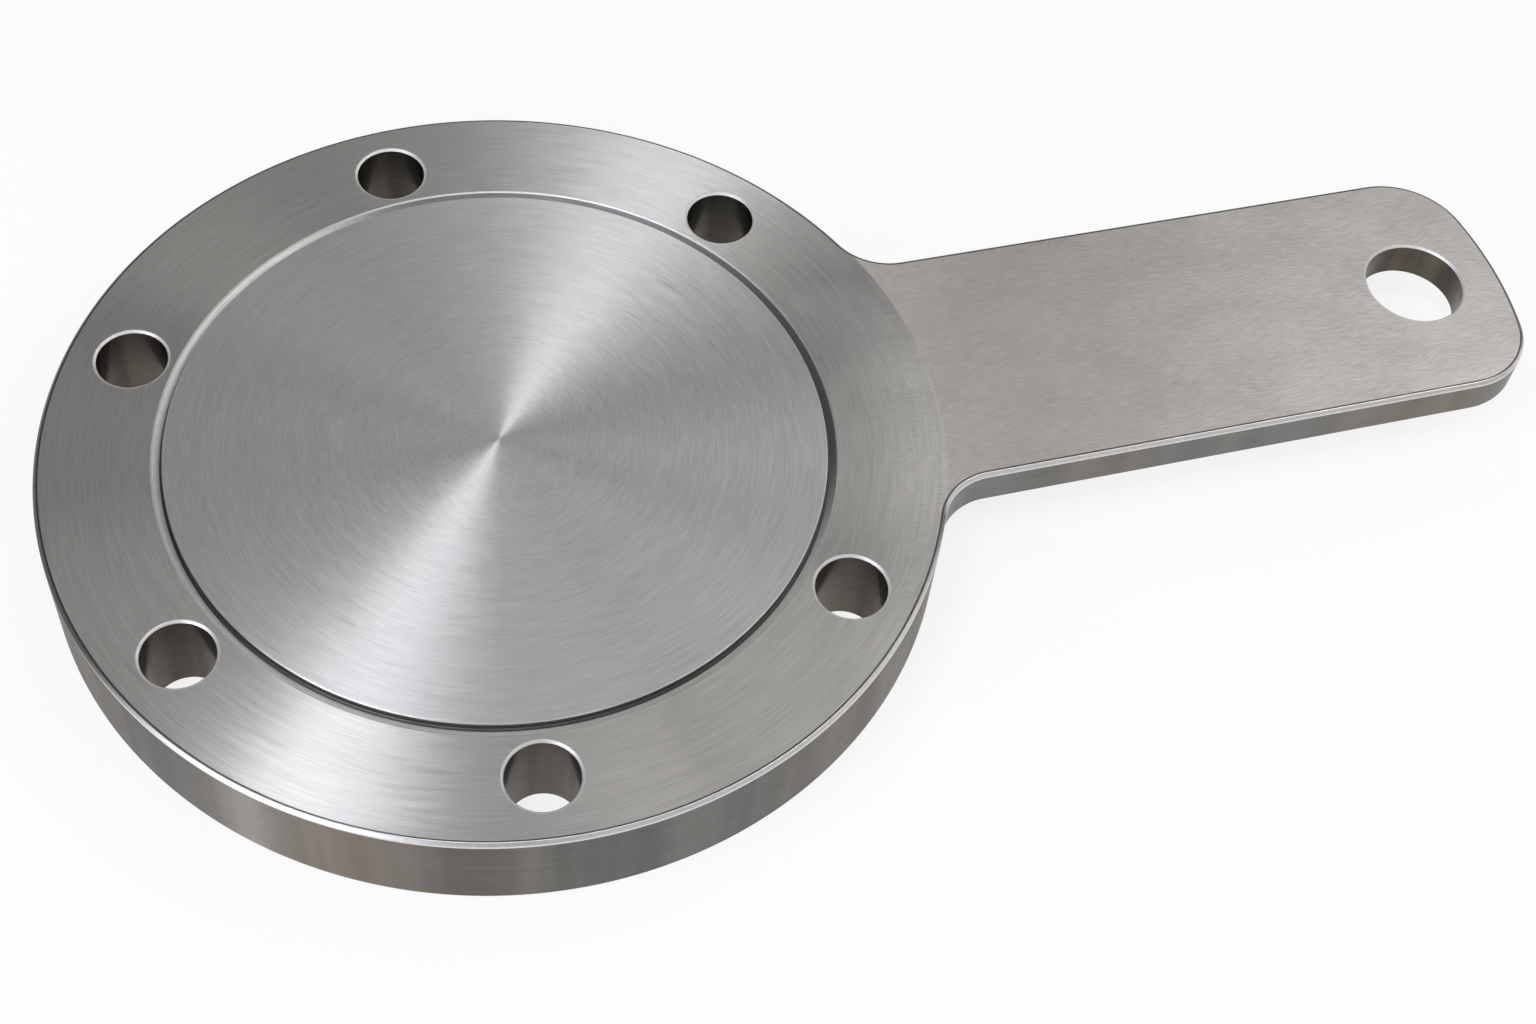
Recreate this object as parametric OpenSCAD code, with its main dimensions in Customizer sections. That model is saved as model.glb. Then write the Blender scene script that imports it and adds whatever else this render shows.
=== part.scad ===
// Slip plate: a thick round blanking plate for a flanged pipe joint, with a flat handle in one piece with it.
// The plate's axis is Z and its flat underside is at z = 0. The handle points along +X, level with the top.

/* [Plate] */
// Outside diameter of the round plate
plate_d = 254; // [200:1:320]
// Thickness of the plate, measured at the outer ring
plate_t = 28; // [18:0.5:40]
// Chamfer along the whole top outline, on the plate, the neck and the handle
edge_chamfer = 1; // [0.4:0.1:2]
// Small edge break along the underside of the plate and of the handle
edge_break = 0.5; // [0.2:0.1:1.2]

/* [Bolt holes] */
// Number of bolt holes
bolt_count = 6; // [4:1:8]
// Diameter of each bolt hole
bolt_hole_d = 20; // [12:0.5:26]
// Metal left between the bolt holes and the plate's rim
rim_margin = 9; // [4:0.5:16]
// Angle between the two bolt holes on either side of the handle
handle_gap = 80; // [60:1:110]
// Chamfer at both ends of each bolt hole
bolt_hole_chamfer = 0.6; // [0.2:0.1:1]

/* [Groove] */
// Metal left between the bolt holes and the groove
groove_margin = 2.3; // [1.5:0.1:8]
// Width of the groove around the gasket face
groove_w = 3.2; // [2.4:0.1:6]
// Depth of the groove below the outer ring
groove_depth = 1.5; // [1:0.1:5]
// Width of the groove's flat floor, next to the gasket face
groove_floor_w = 0.9; // [0.6:0.1:1.5]
// Width of the shallow lip where the groove's sloped side meets the outer ring
groove_lip_w = 0.5; // [0.2:0.1:0.8]
// Depth of that lip
groove_lip_depth = 0.3; // [0.1:0.1:0.8]

/* [Gasket face] */
// Height of the gasket face above the outer ring
face_rise = 0.8; // [0.4:0.1:3]
// Edge break around the gasket face
face_break = 0.3; // [0.1:0.1:0.6]

/* [Handle] */
// Length of the handle, from the plate's rim to its tip
handle_length = 187; // [110:1:330]
// Width of the handle
handle_w = 83; // [56:1:110]
// Thickness of the handle
handle_t = 12; // [6:0.5:16]
// Radius of the two hollow corners where the handle meets the plate
neck_r = 18; // [6:1:40]
// Radius of the two outer corners of the handle
corner_r = 24; // [6:1:26]
// Radius of the slightly bowed end between those corners
end_r = 120; // [60:5:500]

/* [Handle hole] */
// Diameter of the hole in the handle
handle_hole_d = 30; // [12:0.5:44]
// Metal left between the hole and the tip of the handle
handle_hole_margin = 13; // [8:0.5:50]
// Chamfer at both ends of the hole in the handle
handle_hole_chamfer = 0.6; // [0.2:0.1:1]

/* [Hidden] */
$fn = 180;
steel = [0.70, 0.69, 0.67];

// Inward from the rim: metal, bolt holes, metal, groove, gasket face
plate_r = plate_d / 2;
bolt_r = bolt_hole_d / 2;
bolt_circle_r = plate_r - rim_margin - bolt_r;
groove_r = bolt_circle_r - bolt_r - groove_margin;
face_r = groove_r - groove_w;

// The bolt holes share the circle outside the handle gap in equal steps, mirrored about the handle's centre line.
bolt_step = (360 - handle_gap) / (bolt_count - 1);

handle_half = handle_w / 2;
handle_bottom = plate_t - handle_t;
handle_reach = plate_r + handle_length;
handle_hole_r = handle_hole_d / 2;
handle_hole_x = handle_reach - handle_hole_margin - handle_hole_r;

// Each neck arc touches the plate's rim and the side of the handle.
neck_y = handle_half + neck_r;
neck_x = sqrt(pow(plate_r + neck_r, 2) - pow(neck_y, 2));

// Each corner arc touches the side of the handle and the bowed end.
end_x = handle_reach - end_r;
corner_y = handle_half - corner_r;
corner_x = end_x + sqrt(pow(end_r - corner_r, 2) - pow(corner_y, 2));

// Length by which cutting shapes stand out of the metal
clear = 1;

// Everything is one piece of metal, so it is one node.
module slip_plate() {
  color(steel)
  difference() {
    union() {
      round_plate();
      handle();
    }
    bolt_holes();
    translate([handle_hole_x, 0, 0])
      chamfered_hole(handle_hole_r, handle_bottom, plate_t, handle_hole_chamfer);
  }
}

// The plate is one turned profile: underside, chamfered rim, outer ring, groove and gasket face.
module round_plate() {
  rotate_extrude()
    polygon([
      [0, 0],
      [plate_r - edge_break, 0],
      [plate_r, edge_break],
      [plate_r, plate_t - edge_chamfer],
      [plate_r - edge_chamfer, plate_t],
      [groove_r, plate_t],
      [groove_r - groove_lip_w, plate_t - groove_lip_depth],
      [face_r + groove_floor_w, plate_t - groove_depth],
      [face_r, plate_t - groove_depth],
      [face_r, plate_t + face_rise - face_break],
      [face_r - face_break, plate_t + face_rise],
      [0, plate_t + face_rise]
    ]);
}

// The handle starts outside the groove, under the outer ring's own top, and runs out to the bowed end.
module handle() {
  difference() {
    union() {
      handle_bar();
      for (side = [-1, 1]) {
        neck(side);
        translate([corner_x, side * corner_y, 0])
          chamfered_disc(corner_r);
      }
      handle_end();
    }
    translate([0, 0, handle_bottom - clear])
      cylinder(r = groove_r + clear, h = handle_t + 2 * clear);
  }
}

// Straight part of the handle, with the chamfer and the edge break along both sides
module handle_bar() {
  rotate([90, 0, 90])
    linear_extrude(corner_x)
      polygon([
        [-handle_half + edge_break, handle_bottom],
        [handle_half - edge_break, handle_bottom],
        [handle_half, handle_bottom + edge_break],
        [handle_half, plate_t - edge_chamfer],
        [handle_half - edge_chamfer, plate_t],
        [-handle_half + edge_chamfer, plate_t],
        [-handle_half, plate_t - edge_chamfer],
        [-handle_half, handle_bottom + edge_break]
      ]);
}

// Metal that fills one corner between rim and handle. The chamfer runs on around the hollow arc.
module neck(side) {
  difference() {
    translate([0, 0, handle_bottom])
      linear_extrude(handle_t)
        polygon([[0, 0], [neck_x, side * neck_y], [neck_x, 0]]);
    translate([neck_x, side * neck_y, 0])
      rotate_extrude()
        polygon([
          [0, handle_bottom - clear],
          [neck_r + edge_break, handle_bottom - clear],
          [neck_r + edge_break, handle_bottom],
          [neck_r, handle_bottom + edge_break],
          [neck_r, plate_t - edge_chamfer],
          [neck_r + edge_chamfer, plate_t],
          [neck_r + edge_chamfer, plate_t + clear],
          [0, plate_t + clear]
        ]);
  }
}

// Bowed end: the slice of a large disc that lies between the centres of the two corner arcs
module handle_end() {
  spread = asin(corner_y / (end_r - corner_r));
  slice_r = end_r / cos(spread) + clear;
  intersection() {
    translate([end_x, 0, 0])
      chamfered_disc(end_r);
    translate([end_x, 0, handle_bottom])
      linear_extrude(handle_t)
        polygon([
          [0, 0],
          [slice_r * cos(spread), -slice_r * sin(spread)],
          [slice_r * cos(spread), slice_r * sin(spread)]
        ]);
  }
}

// Disc of the handle's thickness with the top chamfer and the bottom edge break
module chamfered_disc(r) {
  rotate_extrude()
    polygon([
      [0, handle_bottom],
      [r - edge_break, handle_bottom],
      [r, handle_bottom + edge_break],
      [r, plate_t - edge_chamfer],
      [r - edge_chamfer, plate_t],
      [0, plate_t]
    ]);
}

module bolt_holes() {
  for (i = [0 : bolt_count - 1])
    rotate(handle_gap / 2 + i * bolt_step)
      translate([bolt_circle_r, 0, 0])
        chamfered_hole(bolt_r, 0, plate_t, bolt_hole_chamfer);
}

// Cutting shape for a drilled hole between two faces, with a chamfer at each face
module chamfered_hole(r, low, high, chamfer) {
  translate([0, 0, low - clear])
    cylinder(r = r, h = high - low + 2 * clear);
  translate([0, 0, low - clear])
    cylinder(r1 = r + chamfer + clear, r2 = r, h = chamfer + clear);
  translate([0, 0, high - chamfer])
    cylinder(r1 = r, r2 = r + chamfer + clear, h = chamfer + clear);
}

slip_plate();
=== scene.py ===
"""Slip plate: a turned round blanking plate with a flat brushed handle, on a plain white floor."""

import math

import bpy
import numpy as np
from mathutils import Matrix, Vector
from mathutils.geometry import delaunay_2d_cdt


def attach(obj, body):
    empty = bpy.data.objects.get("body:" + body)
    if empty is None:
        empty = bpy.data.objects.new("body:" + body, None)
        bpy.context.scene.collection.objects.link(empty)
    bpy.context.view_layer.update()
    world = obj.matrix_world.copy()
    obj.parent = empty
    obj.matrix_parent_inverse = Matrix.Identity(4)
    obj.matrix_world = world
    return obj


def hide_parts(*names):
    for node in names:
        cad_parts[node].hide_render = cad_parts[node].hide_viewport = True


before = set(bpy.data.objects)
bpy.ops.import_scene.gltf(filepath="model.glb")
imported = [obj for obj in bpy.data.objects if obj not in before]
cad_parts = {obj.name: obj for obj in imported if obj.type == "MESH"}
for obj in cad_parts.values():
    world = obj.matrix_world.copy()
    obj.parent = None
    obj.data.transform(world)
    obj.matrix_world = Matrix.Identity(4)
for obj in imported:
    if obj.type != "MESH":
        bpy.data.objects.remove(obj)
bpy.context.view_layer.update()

MM = 0.001

# Sizes of the part in millimetres, the same as in its CAD source
PLATE_R = 127.0
PLATE_T = 28.0
TOP_CHAMFER = 1.0
LOW_BREAK = 0.5
FACE_R = 92.5
FACE_RISE = 0.8
FACE_BREAK = 0.3
GROOVE_R = 95.7
GROOVE_DEPTH = 1.5
GROOVE_FLOOR_W = 0.9
LIP_W = 0.5
LIP_DEPTH = 0.3
BOLT_COUNT = 6
BOLT_R = 10.0
BOLT_CIRCLE_R = 108.0
HANDLE_GAP = 80.0
HOLE_CHAMFER = 0.6
HANDLE_REACH = 314.0
HANDLE_HALF = 41.5
HANDLE_BOTTOM = 16.0
NECK_R = 18.0
CORNER_R = 24.0
END_R = 120.0
HANDLE_HOLE_X = 286.0
HANDLE_HOLE_R = 15.0

NECK_Y = HANDLE_HALF + NECK_R
NECK_X = math.sqrt((PLATE_R + NECK_R) ** 2 - NECK_Y ** 2)
END_X = HANDLE_REACH - END_R
CORNER_Y = HANDLE_HALF - CORNER_R
CORNER_X = END_X + math.sqrt((END_R - CORNER_R) ** 2 - CORNER_Y ** 2)
TOP = PLATE_T
FACE_TOP = PLATE_T + FACE_RISE
FLOOR_OF_GROOVE = PLATE_T - GROOVE_DEPTH
BREAK_TOP = HANDLE_BOTTOM + LOW_BREAK
DIAGONAL = math.sqrt(0.5)

# Angle round the neck arc at which the edge break under the handle runs out on the rim
NECK_BREAK_ANGLE = math.acos(
    ((PLATE_R + NECK_R) ** 2 + (NECK_R + LOW_BREAK) ** 2 - PLATE_R ** 2)
    / (2 * (PLATE_R + NECK_R) * (NECK_R + LOW_BREAK))
)

# How the outline and the circles are divided
PLATE_STEPS = 320
NECK_BREAK_STEPS = 6
NECK_STEPS = 22
CORNER_STEPS = 28
ROOT_STEPS = 44
FINISH_STEPS = 48
TURNED_STEPS = 360
HOLE_STEPS = 120

# Width of the narrow flat strips that lead from a softened edge to the face or wall beside it
TOP_STRIP = 0.5
WALL_STRIP = 0.4
FACE_STRIP = 6.0
RING_STRIP = 0.3
HOLE_STRIP = 0.2

# Radii at which the gasket face is divided
FACE_RINGS = (70.0, 45.0, 22.0, 8.0)

# Width of the groove's floor that takes the finish of the gasket face's wall
WALL_MARGIN = 0.05

# Radii of the softened edges: outer edge, a hole's edges from the top down, the groove's from the face out
EDGE_SOFT = 0.8
HOLE_SOFT = [0.15, 0.2, 0]
GROOVE_SOFT = [0.1, 0.1, 0.25, 0.3, 0.15, 0.1]

# How far the turned ring's finish reaches along each neck arc, in outline places
FINISH_PLACES = 8

# The finishes of the part. The order is that of the material slots.
REGIONS = [
    "face", "ring", "handle", "step", "floor", "groove", "lip",
    "edge", "hole_edge", "rim", "side", "bore", "under",
]


class Builder:
    """Collects shared vertices, and faces whose corners carry their own exact normals."""

    def __init__(self):
        self.points = []
        self.faces = []
        self.normals = []
        self.regions = []

    def vertex(self, x, y, z):
        self.points.append((x, y, z))
        return len(self.points) - 1

    def face(self, corners, normals, region):
        kept = [k for k in range(len(corners)) if corners[k] != corners[k - 1]]
        if len(kept) > 2:
            self.faces.append([corners[k] for k in kept])
            self.normals.extend(normals[k] for k in kept)
            self.regions.append(REGIONS.index(region))

    def strip(self, upper, lower, region, closed=True):
        """Quads between two rows of (vertex, normal) with the same number of places."""
        count = len(upper)
        for i in range(count if closed else count - 1):
            j = (i + 1) % count
            corners = (upper[i], lower[i], lower[j], upper[j])
            self.face([c[0] for c in corners], [c[1] for c in corners], region)

    def flat(self, loops, up, region):
        """Fills the flat space between an outer closed loop and the loops inside it with triangles."""
        ids = [v for loop in loops for v in loop]
        spots = [Vector(self.points[v][:2]) for v in ids]
        edges, start = [], 0
        for loop in loops:
            count = len(loop)
            edges += [(start + k, start + (k + 1) % count) for k in range(count)]
            start += count
        found = delaunay_2d_cdt(spots, edges, [], 0, 1e-9)
        triangles = [[ids[found[3][k][0]] for k in tri] for tri in found[2]]
        # A triangle is metal if a line from its middle toward +X crosses the loops an odd number of times.
        middles = np.array([[self.points[v][:2] for v in tri] for tri in triangles]).mean(axis=1)
        metal = np.zeros(len(triangles), bool)
        mx, my = middles.T
        for a, b in edges:
            (x1, y1), (x2, y2) = self.points[ids[a]][:2], self.points[ids[b]][:2]
            if y1 != y2:
                spans = (my < y1) != (my < y2)
                metal ^= spans & (mx < x1 + (x2 - x1) * (my - y1) / (y2 - y1))
        normal = (0.0, 0.0, 1.0 if up else -1.0)
        for tri, keep in zip(triangles, metal):
            if keep:
                self.face(tri if up else tri[::-1], [normal] * 3, region)


def rounded(points, radii, steps=3):
    """(outward, up, normal) places along a profile, walked with the metal on its right."""
    points = [np.array(p, float) for p in points]
    way = [points[k + 1] - points[k] for k in range(len(points) - 1)]
    way = [w / np.linalg.norm(w) for w in way]
    left = [np.array((-w[1], w[0])) for w in way]
    rows = [(points[0], left[0])]
    for k, radius in enumerate(radii, 1):
        before, after = way[k - 1], way[k]
        turn = math.atan2(before[0] * after[1] - before[1] * after[0], before @ after)
        if not radius:
            rows += [(points[k], left[k - 1]), (points[k], left[k])]
            continue
        back = radius * math.tan(abs(turn) / 2)
        begin = points[k] - before * back
        centre = begin - left[k - 1] * radius * math.copysign(1, -turn)
        for s in range(steps + 1):
            a = turn * s / steps
            c, n = math.cos(a), math.sin(a)
            out = left[k - 1]
            out = np.array((out[0] * c - out[1] * n, out[0] * n + out[1] * c))
            rows.append((centre + out * radius * math.copysign(1, -turn), out))
    rows.append((points[-1], left[-1]))
    return rows


def sweep(mesh, outline, rows, regions):
    """Carries a profile round an outline of (x, y, nx, ny), with a region for each step of the profile."""
    made = []
    for k, ((out, height), (nout, nup)) in enumerate(rows):
        same = k > 0 and np.allclose((out, height), rows[k - 1][0])
        if same:
            ids = [v for v, _ in made[-1]]
        else:
            ids = [mesh.vertex(x + nx * out, y + ny * out, height) for x, y, nx, ny in outline]
        made.append([(v, (nx * nout, ny * nout, nup)) for v, (_, _, nx, ny) in zip(ids, outline)])
        if k > 0 and not same:
            mesh.strip(made[-2], made[-1], regions[k - 1])
    return made


def circle(cx, cy, radius, count, inward=False):
    """A closed outline round a hole (inward) or a disc. The metal is on its left."""
    spots = []
    for k in range(count):
        a = 2 * math.pi * k / count
        c, s = math.cos(a), math.sin(a)
        if inward:
            spots.append((cx + radius * c, cy - radius * s, -c, s))
        else:
            spots.append((cx + radius * c, cy + radius * s, c, s))
    return spots


def arc(cx, cy, radius, begin, end, count, hollow=False):
    """Places along an arc, both ends included. A hollow arc has its metal outside it."""
    sign = -1 if hollow else 1
    spots = []
    for k in range(count + 1):
        a = begin + (end - begin) * k / count
        c, s = math.cos(a), math.sin(a)
        spots.append((cx + radius * c, cy + radius * s, sign * c, sign * s))
    return spots


def part_outline():
    """Outline at the top, round the plate first, and the number of its places on the plate."""
    touch = math.atan2(NECK_Y, NECK_X)
    toward = math.pi - touch
    run_out = toward - NECK_BREAK_ANGLE
    spread = math.asin(CORNER_Y / (END_R - CORNER_R))
    quarter = math.pi / 2
    plate_arc = arc(0, 0, PLATE_R, touch, 2 * math.pi - touch, PLATE_STEPS)
    near_neck = arc(NECK_X, -NECK_Y, NECK_R, toward, run_out, NECK_BREAK_STEPS, hollow=True)[1:]
    near_neck += arc(NECK_X, -NECK_Y, NECK_R, run_out, quarter, NECK_STEPS, hollow=True)[1:]
    near_corner = arc(CORNER_X, -CORNER_Y, CORNER_R, -quarter, -spread, CORNER_STEPS)
    end = arc(END_X, 0, END_R, -spread, spread, CORNER_STEPS)[1:-1]
    far_corner = arc(CORNER_X, CORNER_Y, CORNER_R, spread, quarter, CORNER_STEPS)
    far_neck = [(x, -y, nx, -ny) for x, y, nx, ny in reversed(near_neck)]
    return plate_arc + near_neck + near_corner + end + far_corner + far_neck, len(plate_arc)


def build_walls(mesh, outline, plate_count):
    """Top edge and upright walls. Gives the edge's inner row and the row at the handle's edge break."""
    low = TOP - TOP_CHAMFER
    profile = rounded(
        [(-TOP_CHAMFER - TOP_STRIP, TOP), (-TOP_CHAMFER, TOP), (0, low), (0, low - WALL_STRIP)],
        [EDGE_SOFT, EDGE_SOFT],
    )
    top_rows = sweep(mesh, outline, profile, ["edge"] * (len(profile) - 1))
    outward = [(nx, ny, 0.0) for _, _, nx, ny in outline]
    wall_top = [(v, out) for (v, _), out in zip(top_rows[-1], outward)]
    mid = [mesh.vertex(x, y, BREAK_TOP) for x, y, _, _ in outline]
    wall_low = list(zip(mid, outward))
    last = plate_count - 1
    mesh.strip(wall_top[:plate_count], wall_low[:plate_count], "rim", closed=False)
    mesh.strip(wall_top[last:] + wall_top[:1], wall_low[last:] + wall_low[:1], "side", closed=False)
    return [v for v, _ in top_rows[0]], mid


def build_handle_break(mesh, outline, plate_count, mid):
    """Edge break under the handle. It dies out on the rim, where the neck arc touches the plate."""
    handle_part = list(range(plate_count - 1, len(outline))) + [0]
    reach = PLATE_R + NECK_R
    low_ids, slope = [], []
    for k in handle_part:
        x, y, nx, ny = outline[k]
        depth = LOW_BREAK
        if k in (handle_part[0], handle_part[-1]):
            depth = 0.0
        elif x < NECK_X:
            # Angle round the neck arc, from the place where it touches the plate
            side = math.copysign(NECK_Y, y)
            dx, dy = x - NECK_X, y - side
            across = math.atan2(abs(dx * side - dy * NECK_X) / reach, -(dx * NECK_X + dy * side) / reach)
            if across < NECK_BREAK_ANGLE - 1e-9:
                half_chord = math.sqrt(PLATE_R ** 2 - (reach * math.sin(across)) ** 2)
                depth = reach * math.cos(across) - half_chord - NECK_R
        moved = (x - nx * depth, y - ny * depth, BREAK_TOP - depth)
        low_ids.append(mesh.vertex(*moved) if depth else mid[k])
        slope.append((nx * DIAGONAL, ny * DIAGONAL, -DIAGONAL))
    upper = [(mid[k], normal) for k, normal in zip(handle_part, slope)]
    mesh.strip(upper, list(zip(low_ids, slope)), "side", closed=False)
    return low_ids


def build_rim_foot(mesh, outline, plate_count, mid, low_ids):
    """Rim down to its low edge break. Gives the rim's foot and the outline of the handle's underside."""
    on_rim = [i for i, v in enumerate(low_ids) if abs(math.hypot(*mesh.points[v][:2]) - PLATE_R) < 1e-6]
    first_side = [i for i in on_rim if i < len(low_ids) // 2]
    last_side = [i for i in on_rim if i > len(low_ids) // 2]
    x, y, _ = mesh.points[low_ids[first_side[-1]]]
    a0 = math.atan2(y, x)
    root = [mesh.vertex(PLATE_R * math.cos(a), PLATE_R * math.sin(a), HANDLE_BOTTOM)
            for a in (a0 - 2 * a0 * k / ROOT_STEPS for k in range(1, ROOT_STEPS))]
    under_top = [low_ids[i] for i in first_side] + root + [low_ids[i] for i in last_side]
    ring_top = range(plate_count - 1)
    spots = [outline[k][:2] for k in ring_top] + [mesh.points[v][:2] for v in under_top[:-1]]
    rim_above = [mid[k] for k in ring_top] + under_top[:-1]
    rim_low = [mesh.vertex(x, y, LOW_BREAK) for x, y in spots]
    back = (PLATE_R - LOW_BREAK) / PLATE_R
    rim_foot = [mesh.vertex(x * back, y * back, 0.0) for x, y in spots]
    radial = [(x / PLATE_R, y / PLATE_R, 0.0) for x, y in spots]
    foot_slope = [(nx * DIAGONAL, ny * DIAGONAL, -DIAGONAL) for nx, ny, _ in radial]
    mesh.strip(list(zip(rim_above, radial)), list(zip(rim_low, radial)), "rim")
    mesh.strip(list(zip(rim_low, foot_slope)), list(zip(rim_foot, foot_slope)), "rim")
    beneath = low_ids[first_side[-1]:last_side[0] + 1]
    return rim_foot, beneath + root[::-1]


def turned_region(before, after):
    """Finish of one step of the turned profile, told by its middle."""
    out, height = (before[0] + after[0]) / 2
    if out > GROOVE_R:
        return "ring"
    if out > GROOVE_R - LIP_W:
        return "lip"
    if out > FACE_R + GROOVE_FLOOR_W:
        return "groove"
    if out > FACE_R + WALL_MARGIN:
        return "floor"
    return "step" if height < FACE_TOP - FACE_BREAK else "face"


def build_turned_middle(mesh):
    """Gasket face, its edge break and the groove, turned round the axis. Gives the outer row."""
    around = circle(0, 0, 0, TURNED_STEPS)
    profile = rounded(
        [
            (FACE_R - FACE_STRIP, FACE_TOP),
            (FACE_R - FACE_BREAK, FACE_TOP),
            (FACE_R, FACE_TOP - FACE_BREAK),
            (FACE_R, FLOOR_OF_GROOVE),
            (FACE_R + GROOVE_FLOOR_W, FLOOR_OF_GROOVE),
            (GROOVE_R - LIP_W, TOP - LIP_DEPTH),
            (GROOVE_R, TOP),
            (GROOVE_R + RING_STRIP, TOP),
        ],
        GROOVE_SOFT,
    )
    rows = sweep(mesh, around, profile, [turned_region(*pair) for pair in zip(profile, profile[1:])])
    flat_up = (0.0, 0.0, 1.0)
    inner = [v for v, _ in rows[0]]
    for radius in FACE_RINGS:
        ring = [mesh.vertex(nx * radius, ny * radius, FACE_TOP) for _, _, nx, ny in around]
        mesh.strip([(v, flat_up) for v in ring], [(v, flat_up) for v in inner], "face")
        inner = ring
    centre = mesh.vertex(0, 0, FACE_TOP)
    for k, v in enumerate(inner):
        mesh.face([centre, v, inner[(k + 1) % len(inner)]], [flat_up] * 3, "face")
    return [v for v, _ in rows[-1]]


def build_holes(mesh):
    """Chamfer, bore and chamfer of each hole, the handle's last. Gives the top loops and the low loops."""
    holes = []
    for k in range(BOLT_COUNT):
        a = math.radians(HANDLE_GAP / 2 + k * (360 - HANDLE_GAP) / (BOLT_COUNT - 1))
        holes.append((BOLT_CIRCLE_R * math.cos(a), BOLT_CIRCLE_R * math.sin(a), BOLT_R, 0.0))
    holes.append((HANDLE_HOLE_X, 0.0, HANDLE_HOLE_R, HANDLE_BOTTOM))
    c = HOLE_CHAMFER
    tops, feet = [], []
    for x, y, radius, bottom in holes:
        profile = rounded(
            [(-c - HOLE_STRIP, TOP), (-c, TOP), (0, TOP - c), (0, bottom + c), (-c, bottom)],
            HOLE_SOFT,
        )
        middle = (TOP + bottom) / 2
        kinds = ["hole_edge" if height > middle else "bore" for (_, height), _ in profile[1:]]
        made = sweep(mesh, circle(x, y, radius, HOLE_STEPS, inward=True), profile, kinds)
        tops.append([v for v, _ in made[0]])
        feet.append([v for v, _ in made[-1]])
    return tops, feet


def build_plate():
    """The whole piece as one closed mesh."""
    mesh = Builder()
    outline, plate_count = part_outline()
    top_edge, mid = build_walls(mesh, outline, plate_count)
    low_ids = build_handle_break(mesh, outline, plate_count, mid)
    rim_foot, handle_foot = build_rim_foot(mesh, outline, plate_count, mid, low_ids)
    groove_edge = build_turned_middle(mesh)
    tops, feet = build_holes(mesh)

    # The turned ring ends on an arc across the neck, from one edge vertex to its mirror image.
    near, far = plate_count + FINISH_PLACES, len(outline) - 1 - FINISH_PLACES
    fx, fy, _ = mesh.points[top_edge[far]]
    finish_r, finish_a = math.hypot(fx, fy), math.atan2(fy, fx)
    across = [mesh.vertex(finish_r * math.cos(a), finish_r * math.sin(a), TOP)
              for a in (finish_a * (2 * k / FINISH_STEPS - 1) for k in range(1, FINISH_STEPS))]
    ring_edge = top_edge[far:] + top_edge[:near + 1] + across
    mesh.flat([ring_edge, groove_edge] + tops[:-1], True, "ring")
    mesh.flat([top_edge[near:far + 1] + across[::-1], tops[-1]], True, "handle")
    mesh.flat([rim_foot] + feet[:-1], False, "under")
    mesh.flat([handle_foot, feet[-1]], False, "under")
    return mesh


def make_object(name, mesh, materials):
    """Object with the collected faces, their exact normals and a material slot for each finish."""
    data = bpy.data.meshes.new(name)
    points = np.array(mesh.points) * MM
    data.from_pydata(points.tolist(), [], mesh.faces)
    for region in REGIONS:
        data.materials.append(materials[region])
    data.polygons.foreach_set("material_index", mesh.regions)
    data.polygons.foreach_set("use_smooth", [True] * len(mesh.faces))
    data.update()
    data.normals_split_custom_set([Vector(n).normalized() for n in mesh.normals])
    thing = bpy.data.objects.new(name, data)
    bpy.context.scene.collection.objects.link(thing)
    return thing


# Materials

# Where most of a noise's values lie
NOISE_RANGE = (0.3, 0.7)

# How much the marks change the tone and the roughness
TURNED_TONE = 0.19
GROUND_TONE = 0.25
WALL_TONE = 0.20
MARK_ROUGHNESS = -0.05

# Height of the marks in metres
TURNED_MARK = 0.004 * MM
GROUND_MARK = 0.006 * MM
PLAIN_MARK = 0.002 * MM

# How far a turned mark runs off its circle, as a slope
MARK_LEAN = 0.05

# Direction from the plate's axis to the quarter where the groove slope is painted darker, as painted shade
SHADED_QUARTER_WAY = (0.77, 0.64)


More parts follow.
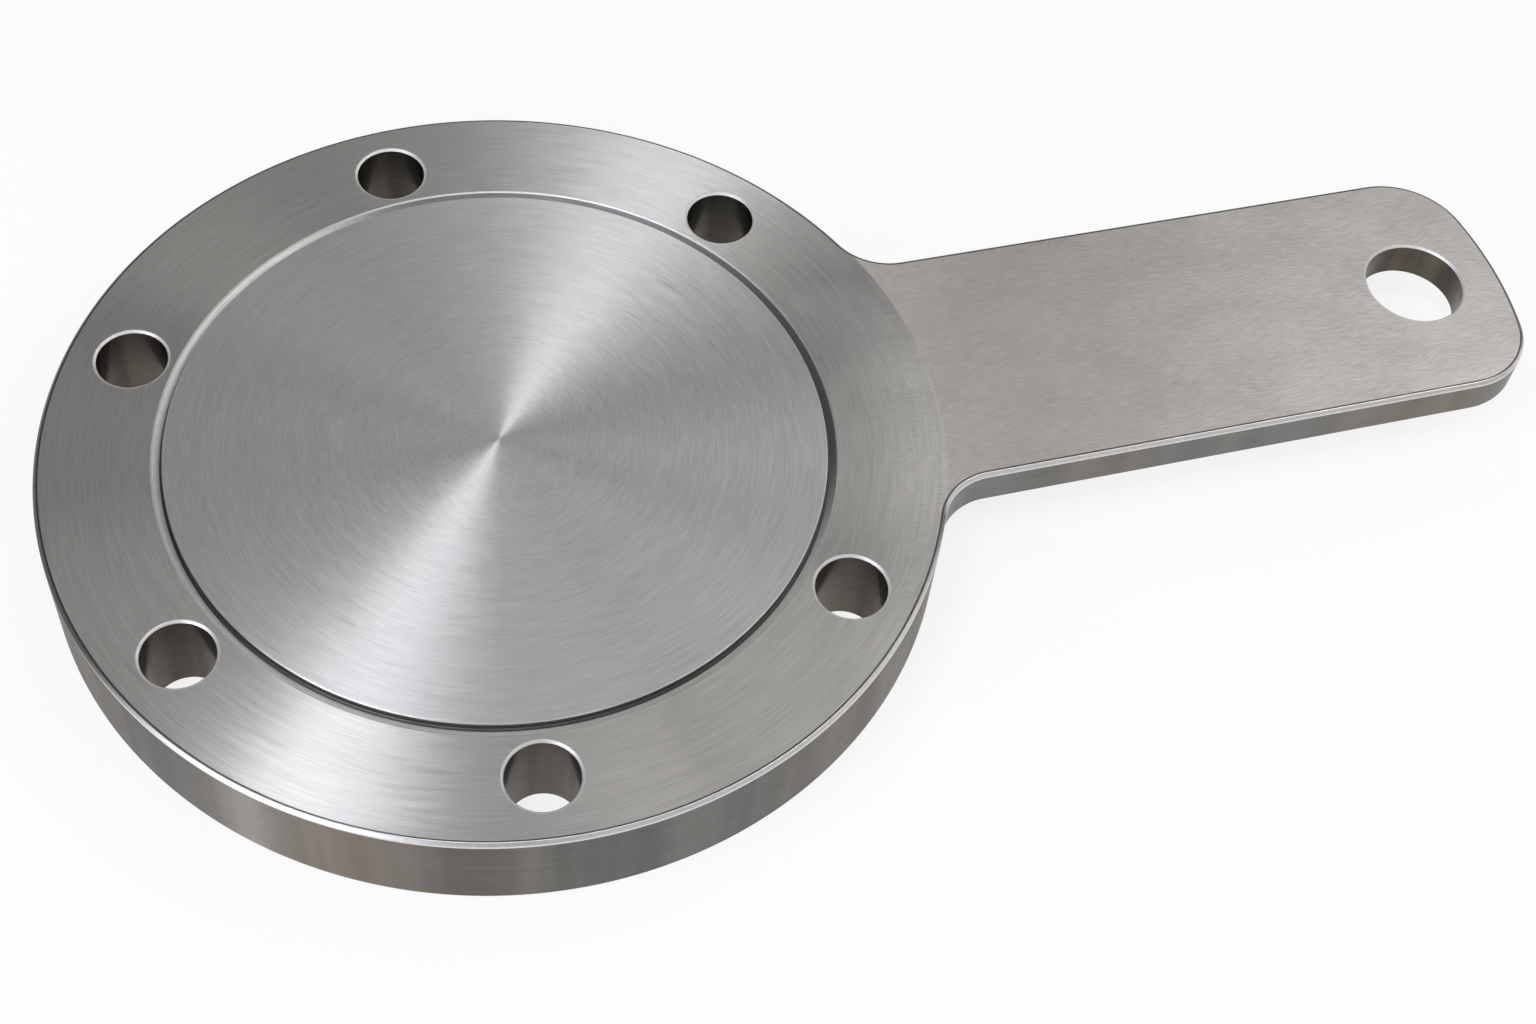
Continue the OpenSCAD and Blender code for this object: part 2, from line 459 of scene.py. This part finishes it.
class Nodes:
    """Short calls for building a node tree."""

    def __init__(self, name):
        self.material = bpy.data.materials.new(name)
        self.material.use_nodes = True
        self.tree = self.material.node_tree
        self.tree.nodes.clear()
        self.output = self.tree.nodes.new("ShaderNodeOutputMaterial")

    def put(self, socket, value):
        if isinstance(value, bpy.types.NodeSocket):
            self.tree.links.new(value, socket)
        elif value is not None:
            socket.default_value = value

    def math(self, operation, a, b=None, c=None):
        node = self.tree.nodes.new("ShaderNodeMath")
        node.operation = operation
        for socket, value in zip(node.inputs, (a, b, c)):
            self.put(socket, value)
        return node.outputs[0]

    def times(self, a, b):
        return self.math("MULTIPLY", a, b)

    def plus(self, a, b):
        return self.math("ADD", a, b)

    def vector(self, operation, a, b=None, scale=None):
        node = self.tree.nodes.new("ShaderNodeVectorMath")
        node.operation = operation
        self.put(node.inputs[0], a)
        self.put(node.inputs[1], b)
        if scale is not None:
            self.put(node.inputs["Scale"], scale)
        return node.outputs["Value" if operation in ("LENGTH", "DOT_PRODUCT") else "Vector"]

    def combine(self, *parts):
        """Vector whose three parts are each a number, a socket, or a (socket, factor) pair."""
        node = self.tree.nodes.new("ShaderNodeCombineXYZ")
        for socket, part in zip(node.inputs, parts):
            self.put(socket, self.times(*part) if isinstance(part, tuple) else part)
        return node.outputs[0]

    def split(self, vector):
        node = self.tree.nodes.new("ShaderNodeSeparateXYZ")
        self.put(node.inputs[0], vector)
        return tuple(node.outputs)

    def coordinate(self, kind):
        return self.tree.nodes.new("ShaderNodeTexCoord").outputs[kind]

    def place(self):
        """Object position in millimetres as x, y, z."""
        return self.split(self.vector("SCALE", self.coordinate("Object"), scale=1 / MM))

    def noise(self, where, scale=1.0, detail=2.0, rough=0.5):
        node = self.tree.nodes.new("ShaderNodeTexNoise")
        node.noise_dimensions = "3D"
        self.put(node.inputs["Vector"], where)
        node.inputs["Scale"].default_value = scale
        node.inputs["Detail"].default_value = detail
        node.inputs["Roughness"].default_value = rough
        return node.outputs["Fac"]

    def remap(self, value, low, high, to_low, to_high, smooth=False):
        node = self.tree.nodes.new("ShaderNodeMapRange")
        node.interpolation_type = "SMOOTHSTEP" if smooth else "LINEAR"
        for socket, v in zip(node.inputs[:5], (value, low, high, to_low, to_high)):
            self.put(socket, v)
        return node.outputs[0]

    def swing(self, noise, amount):
        """Noise spread over the range from -amount to amount."""
        return self.remap(noise, *NOISE_RANGE, -amount, amount)

    def mix(self, factor, a, b):
        node = self.tree.nodes.new("ShaderNodeMix")
        node.data_type = "RGBA"
        self.put(node.inputs[0], factor)
        self.put(node.inputs[6], a)
        self.put(node.inputs[7], b)
        return node.outputs[2]

    def bump(self, height, distance):
        node = self.tree.nodes.new("ShaderNodeBump")
        self.put(node.inputs["Height"], height)
        node.inputs["Distance"].default_value = distance
        node.inputs["Strength"].default_value = 1.0
        return node.outputs[0]

    def metal(self, colour, roughness, anisotropic, tangent=None, normal=None):
        node = self.tree.nodes.new("ShaderNodeBsdfPrincipled")
        self.put(node.inputs["Base Color"], colour)
        node.inputs["Metallic"].default_value = 1.0
        self.put(node.inputs["Roughness"], roughness)
        node.inputs["Anisotropic"].default_value = anisotropic
        self.put(node.inputs["Tangent"], tangent)
        self.put(node.inputs["Normal"], normal)
        self.put(self.output.inputs["Surface"], node.outputs[0])
        return self.material


def turned_metal(name, tint, rough, anisotropic, neck=None, back=None):
    """Face turned on a lathe: fine short arcs round the axis spread reflections along the radius."""
    n = Nodes(name)
    x, y, _ = n.place()
    flat = n.combine(x, y, 0.0)
    radius, outward = n.vector("LENGTH", flat), n.vector("NORMALIZE", flat)

    def arcs(around, offset, across, detail=2.0, rough=0.6):
        """Noise drawn out round the axis. It changes around per radian and across per millimetre out."""
        turned = n.vector("SCALE", outward, scale=around)
        spot = n.vector("ADD", turned, n.combine(*offset, (radius, across)))
        return n.noise(spot, 1.0, detail, rough)

    fine = arcs(8.0, (0.0, 0.0), 2.4)
    band = arcs(1.6, (5.0, 2.0), 0.45, rough=0.5)
    # A few longer marks, where the tool dragged or the face was handled
    drag = arcs(4.0, (3.0, 8.0), 1.4, detail=0.0, rough=0.5)
    wander = arcs(8.0, (9.0, 4.0), 1.6)
    shade = n.plus(n.swing(fine, 0.5), n.swing(band, 0.15))
    shade = n.plus(shade, n.remap(drag, 0.74, 0.82, 0.0, 0.4, True))
    shade = n.math("SUBTRACT", shade, n.remap(drag, 0.27, 0.19, 0.0, 0.4, True))
    level = n.math("MULTIPLY_ADD", shade, TURNED_TONE, 1.0)
    colour = n.vector("SCALE", n.combine(*tint), scale=level)
    roughness = n.math("MULTIPLY_ADD", shade, MARK_ROUGHNESS, rough)
    # Each mark runs a degree or two off its circle, so the bright wedges get broken edges.
    sideways = n.vector("CROSS_PRODUCT", (0.0, 0.0, 1.0), outward)
    lean = n.vector("SCALE", sideways, scale=n.swing(wander, MARK_LEAN))
    tangent = n.vector("NORMALIZE", n.vector("ADD", outward, lean))
    if back:
        # Painted shade: darker on the quarter behind the handle's root
        toward = n.plus(n.times(x, SHADED_QUARTER_WAY[0]), n.times(y, SHADED_QUARTER_WAY[1]))
        colour = n.vector("SCALE", colour, scale=n.remap(toward, 15.0, 60.0, 1.0, back, True))
    if neck:
        colour = worn_neck(n, colour, x, y, radius, neck)
    return n.metal(colour, roughness, anisotropic, tangent, n.bump(fine, TURNED_MARK))


def worn_neck(n, colour, x, y, radius, amount):
    """The grinding of the handle runs lightly over the last turned rings of the neck."""

    def patch(*limits):
        """1 inside every (value, from 0, to 1) limit, with soft edges."""
        level = None
        for value, begin, full in limits:
            inside = n.remap(value, begin, full, 0.0, 1.0, True)
            level = inside if level is None else n.times(level, inside)
        return level

    def lighten(colour, mask, gain):
        return n.vector("SCALE", colour, scale=n.math("MULTIPLY_ADD", mask, gain, 1.0))

    _, handle_shade = ground_marks(n, x, y)
    cover = n.math("MULTIPLY_ADD", handle_shade, GROUND_TONE, 1.0 + amount)
    worn = patch((radius, 98.0, 125.0), (x, 70.0, 104.0), (y, 42.0, 8.0))
    colour = lighten(colour, worn, n.math("SUBTRACT", cover, 1.0))
    # Toward the far corner of the neck a second pass of the grinder reaches in to the groove.
    reach = patch((radius, 88.0, 104.0), (x, 60.0, 85.0), (y, -12.0, 6.0), (y, 42.0, 28.0))
    return lighten(colour, reach, 0.22)


def ground_marks(n, x, y):
    """Grain of the handle: short fuzzy scratches along it, a little curled, under soft clouds of tone."""
    drift = n.noise(n.combine((x, 0.06), (y, 0.06), 7.0), 1.0, 1.0)
    across = n.plus(n.times(y, 1.7), n.swing(drift, 2.8))
    streak = n.noise(n.combine((x, 0.21), across, 0.0), 1.0, 2.0, 0.65)
    hair = n.noise(n.combine((x, 0.09), (across, 1.6), 4.0), 1.0, 1.0)
    cloud = n.noise(n.combine((x, 0.04), (y, 0.06), 3.0), 1.0, 2.0)
    shade = n.plus(n.swing(streak, 0.5), n.swing(cloud, 0.25))
    shade = n.plus(shade, n.remap(hair, 0.62, 0.78, 0.0, 0.9, True))
    return streak, shade


def ground_metal(name, tint, rough, anisotropic):
    """Handle: ground lengthwise."""
    n = Nodes(name)
    x, y, _ = n.place()
    streak, shade = ground_marks(n, x, y)
    # The tone gets a little brighter toward the front (-Y) and darker toward the back.
    level = n.times(n.math("MULTIPLY_ADD", shade, GROUND_TONE, 1.0), n.remap(y, -40.0, 40.0, 1.05, 0.94))
    colour = n.vector("SCALE", n.combine(*tint), scale=level)
    roughness = n.math("MULTIPLY_ADD", shade, MARK_ROUGHNESS, rough)
    return n.metal(colour, roughness, anisotropic, n.combine(0.0, 1.0, 0.0), n.bump(streak, GROUND_MARK))


def wall_metal(name, tint, rough, anisotropic, bands):
    """Upright walls: tool marks run round them, so reflections spread up and down."""
    n = Nodes(name)
    x, y, z = n.place()
    line = n.noise(n.combine((x, 0.03), (y, 0.03), (z, 2.2)), 1.0, 3.0, 0.65)
    shade = n.swing(line, 0.5)
    # Soft upright bands, where the work turned a little unevenly against the tool
    band = n.noise(n.combine((x, 0.07), (y, 0.07), (z, 0.005)), 1.0, 2.5, 0.6)
    level = n.math("MULTIPLY_ADD", shade, WALL_TONE, 1.0)
    level = n.plus(level, n.remap(band, 0.35, 0.65, -bands, bands, True))
    # Patches of a slightly warmer or cooler steel
    patches = n.noise(n.combine((x, 0.02), (y, 0.02), 5.0), 1.0, 1.0)
    warmth = n.remap(patches, 0.35, 0.65, -0.06, 0.06)
    tone = n.combine(n.plus(warmth, 1.0), 1.0, n.math("SUBTRACT", 1.0, warmth))
    colour = n.vector("SCALE", n.vector("MULTIPLY", tone, tint), scale=level)
    roughness = n.math("MULTIPLY_ADD", shade, MARK_ROUGHNESS, rough)
    return n.metal(colour, roughness, anisotropic, n.combine(0.0, 0.0, 1.0), n.bump(line, TURNED_MARK))


def fine_grain(n):
    """Grain of a small surface without a direction of its own, and its change of tone."""
    grain = n.noise(n.combine(*n.place()), 0.8, 3.0, 0.6)
    return grain, n.remap(grain, *NOISE_RANGE, 0.93, 1.07)


def plain_metal(name, tint, rough, back=None):
    """Small surfaces and the underside: fine grain, no direction."""
    n = Nodes(name)
    grain, level = fine_grain(n)
    if back:
        # Painted shade: darker round the back than along the front
        _, y, _ = n.place()
        level = n.times(level, n.remap(y, -75.0, 25.0, 1.0, back, True))
    colour = n.vector("SCALE", n.combine(*tint), scale=level)
    return n.metal(colour, rough, 0.0, None, n.bump(grain, PLAIN_MARK))


def edge_metal(name, shaded_tint, bright, rough):
    """Outer edge: painted highlight and painted shade, lighter where the chamfer faces the front and
    darker where it faces the back, for the way the light falls on it.
    """
    n = Nodes(name)
    grain, level = fine_grain(n)
    # Painted light: the tint follows which way the chamfer faces, not a finish of the steel.
    _, facing, _ = n.split(n.coordinate("Normal"))
    front = n.remap(facing, -0.22, -0.50, 0.0, 1.0, True)
    colour = n.vector("SCALE", n.mix(front, (*shaded_tint, 1.0), (*bright, 1.0)), scale=level)
    return n.metal(colour, rough, 0.0, None, n.bump(grain, PLAIN_MARK))


# Finish of each region: tint, roughness and, on the worked faces, how strongly reflections are drawn out.
# Some tints also hold painted shade or painted highlights, marked below.
materials = {
    "face": turned_metal("turned_face", (0.605, 0.594, 0.588), 0.40, 0.9),
    "ring": turned_metal("turned_ring", (0.553, 0.540, 0.526), 0.35, 1.0, neck=0.30),
    "handle": ground_metal("ground_handle", (0.622, 0.598, 0.577), 0.40, 0.6),
    # Painted shade and painted highlight in the groove: its wall and floor are painted dark for the shade
    # in the recess, and its slope and lip are painted lighter than the steel for the light they catch.
    "step": turned_metal("groove_wall", (0.20, 0.19, 0.18), 0.35, 0.6),
    "floor": turned_metal("groove_floor", (0.12, 0.115, 0.11), 0.40, 0.6),
    "groove": turned_metal("groove_slope", (0.84, 0.835, 0.82), 0.52, 0.6, back=0.24),
    "lip": plain_metal("lip_steel", (0.78, 0.77, 0.755), 0.45, back=0.60),
    # Outer edge: the first tint is painted shade round the back, the second a painted highlight along the
    # front.
    "edge": edge_metal("edge_steel", (0.11, 0.105, 0.10), (0.68, 0.67, 0.66), 0.36),
    "hole_edge": plain_metal("hole_edge_steel", (0.72, 0.71, 0.70), 0.5),
    # Painted shade: the rim, the handle's side and the bores are the same steel as the top, painted darker
    # for the dark surroundings they reflect and, in the bores, for the shade inside the holes.
    "rim": wall_metal("rim_steel", (0.178, 0.162, 0.145), 0.42, 0.9, bands=0.16),
    "side": wall_metal("side_steel", (0.192, 0.182, 0.169), 0.42, 0.5, bands=0.08),
    "bore": wall_metal("bore_steel", (0.092, 0.079, 0.065), 0.30, 0.8, bands=0.35),
    "under": plain_metal("under_steel", (0.45, 0.44, 0.43), 0.45),
}

plate = make_object("machined_plate", build_plate(), materials)
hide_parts("slip_plate")
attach(plate, "root")


# Stage, lamps and camera

FLOOR_R = 12.0
FLOOR_CORNERS = 64
FLOOR_WHITE = 0.85
FLOOR_GLOW = 1.02
# Share of the glow where the floor is seen, directly or in the metal. The rest keeps the object's shadow.
FLOOR_GLOW_SHARE = 0.8


def make_floor():
    n = Nodes("floor_white")
    tree = n.tree
    light_path = tree.nodes.new("ShaderNodeLightPath")
    seen = n.math("MAXIMUM", light_path.outputs["Is Camera Ray"], light_path.outputs["Is Glossy Ray"])
    seen = n.math("MAXIMUM", seen, light_path.outputs["Is Transmission Ray"])
    diffuse = tree.nodes.new("ShaderNodeBsdfDiffuse")
    diffuse.inputs["Color"].default_value = (FLOOR_WHITE, FLOOR_WHITE, FLOOR_WHITE, 1)
    glow = tree.nodes.new("ShaderNodeEmission")
    glow.inputs["Color"].default_value = (1, 1, 1, 1)
    glow.inputs["Strength"].default_value = FLOOR_GLOW
    mix = tree.nodes.new("ShaderNodeMixShader")
    n.put(mix.inputs[0], n.times(seen, FLOOR_GLOW_SHARE))
    n.put(mix.inputs[1], diffuse.outputs[0])
    n.put(mix.inputs[2], glow.outputs[0])
    n.put(n.output.inputs["Surface"], mix.outputs[0])
    data = bpy.data.meshes.new("floor")
    spots = [(x, y, 0.0) for x, y, _, _ in circle(0, 0, FLOOR_R, FLOOR_CORNERS)]
    data.from_pydata(spots, [], [list(range(FLOOR_CORNERS))])
    data.materials.append(n.material)
    floor = bpy.data.objects.new("floor", data)
    bpy.context.scene.collection.objects.link(floor)


# Brightness of the studio by the sine of the height: white at the horizon, dark overhead
HORIZON = (0.0, 1.0)
OVERHEAD = (1.0, 0.04)
SKY = [(0.1, 0.93), (0.2, 0.75), (0.3, 0.55), (0.42, 0.36), (0.56, 0.2), (0.72, 0.12), (0.88, 0.07)]


def make_world():
    world = bpy.data.worlds.new("studio")
    world.use_nodes = True
    tree = world.node_tree
    background = tree.nodes["Background"]
    background.inputs["Color"].default_value = (1, 1, 1, 1)
    coord = tree.nodes.new("ShaderNodeTexCoord")
    split = tree.nodes.new("ShaderNodeSeparateXYZ")
    tree.links.new(coord.outputs["Generated"], split.inputs[0])
    ramp = tree.nodes.new("ShaderNodeFloatCurve")
    curve = ramp.mapping.curves[0]
    curve.points[0].location = HORIZON
    curve.points[1].location = OVERHEAD
    for spot in SKY:
        curve.points.new(*spot)
    ramp.mapping.update()
    tree.links.new(split.outputs[2], ramp.inputs["Value"])
    tree.links.new(ramp.outputs[0], background.inputs["Strength"])
    bpy.context.scene.world = world


# Soft panels in five rows: elevation, width, and the power of the panel at each azimuth.
# Azimuth 0 is over +X and 90 over +Y.
PANEL_DISTANCE = 1.6
PANEL_HEIGHT = 0.3
PANEL_AIM = Vector((0.06, 0.0, 0.02))
COOL = (0.95, 0.985, 1.06)
WARM = (1.01, 1.0, 0.985)
COOL_SIDE = range(180, 241)
PANELS = [
    (6, 0.34, {210: 5.0}),
    (20, 0.40, {195: 1.2, 210: 2.0, 225: 2.0, 15: 0.8, 30: 0.7}),
    (34, 0.34, {277: 0.5, 300: 0.3}),
    (45, 0.30, {315: 1.16, 330: 1.16, 345: 1.16, 0: 1.16, 15: 0.38, 30: 0.38, 45: 0.42, 75: 0.9}),
    (66, 0.34, {180: 4.0, 210: 4.0, 240: 1.56, 270: 1.56, 300: 1.56, 60: 0.46, 120: 0.44}),
]


def make_panel(azimuth, elevation, width, power):
    data = bpy.data.lights.new(f"panel_{azimuth}_{elevation}", "AREA")
    data.shape = "RECTANGLE"
    data.size, data.size_y = width, PANEL_HEIGHT
    data.energy = power
    data.color = COOL if azimuth in COOL_SIDE else WARM
    panel = bpy.data.objects.new(data.name, data)
    a, e = math.radians(azimuth), math.radians(elevation)
    away = Vector((math.cos(a) * math.cos(e), math.sin(a) * math.cos(e), math.sin(e)))
    panel.location = PANEL_AIM + away * PANEL_DISTANCE
    panel.rotation_mode = "QUATERNION"
    panel.rotation_quaternion = away.to_track_quat("Z", "Y")
    bpy.context.scene.collection.objects.link(panel)


# Camera fitted to the photograph: focal length in its pixels, place in metres, and the directions of view
PHOTO_WIDTH = 1536
FOCAL_PIXELS = 2285
SENSOR_WIDTH = 36.0
CAMERA_PLACE = (-0.0708, -0.3866, 0.5408)
CAMERA_RIGHT = (0.9599, -0.2698, 0.0760)
CAMERA_FORWARD = (0.2176, 0.5462, -0.8089)


def make_camera():
    data = bpy.data.cameras.new("camera")
    data.sensor_width = SENSOR_WIDTH
    data.lens = FOCAL_PIXELS / PHOTO_WIDTH * SENSOR_WIDTH
    data.clip_start = 0.01
    data.clip_end = 100.0
    camera = bpy.data.objects.new("camera", data)
    forward = Vector(CAMERA_FORWARD).normalized()
    up = Vector(CAMERA_RIGHT).normalized().cross(forward).normalized()
    right = forward.cross(up)
    turn = Matrix((right, up, -forward)).transposed().to_4x4()
    camera.matrix_world = Matrix.Translation(CAMERA_PLACE) @ turn
    bpy.context.scene.collection.objects.link(camera)
    bpy.context.scene.camera = camera


make_floor()
make_world()
for row_elevation, row_width, row in PANELS:
    for row_azimuth, row_power in row.items():
        make_panel(row_azimuth, row_elevation, row_width, row_power)
make_camera()

bpy.context.scene.view_settings.view_transform = "Standard"

bpy.context.view_layer.update()
